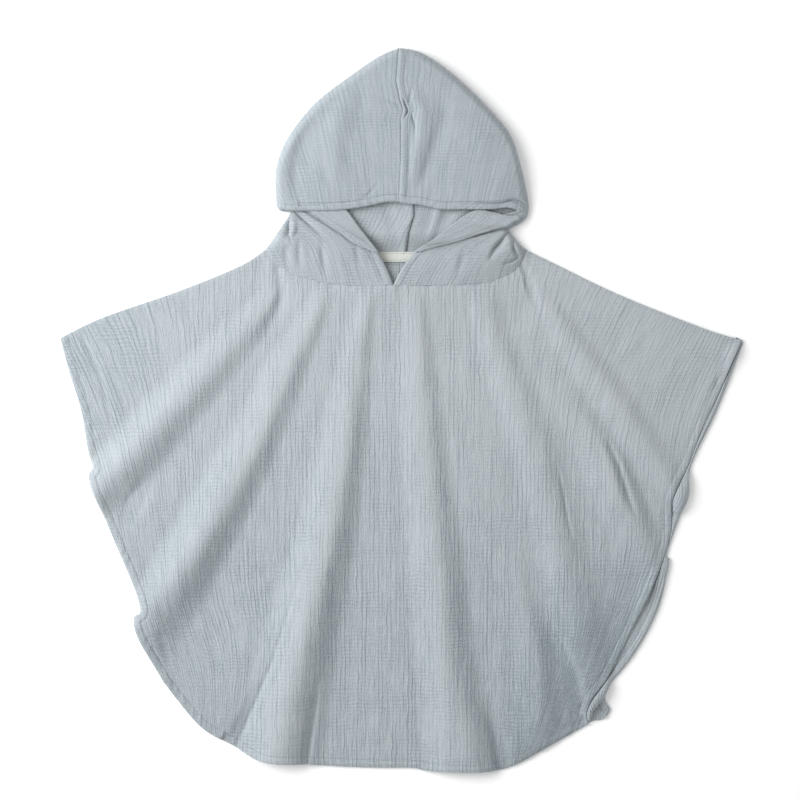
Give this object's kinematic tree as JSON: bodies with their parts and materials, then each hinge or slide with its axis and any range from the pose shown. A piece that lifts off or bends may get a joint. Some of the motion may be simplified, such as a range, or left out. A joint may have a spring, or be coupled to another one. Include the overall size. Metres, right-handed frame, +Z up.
{
  "type": "hooded towel",
  "caption": "Child's hooded poncho towel in crinkled cotton gauze, laid flat face up with soft folds, an open hood and a turned-out face hem.",
  "frame": {"origin": "centre of the garment's footprint, on the surface that it lies on", "axes": "+X to the viewer's right across the sleeves, +Y from the hem to the hood, +Z up out of the front of the garment"},
  "size_m": [0.681, 0.7218, 0.0193],
  "materials": {
    "double_gauze": "crinkled, matte",
    "cotton_tape": "herringbone twill, matte"
  },
  "bodies": {
    "root": {"back_panel": "double_gauze", "front_panel": "double_gauze", "hood_left": "double_gauze", "hood_right": "double_gauze", "neck_tape": "cotton_tape"}
  },
  "joints": []
}
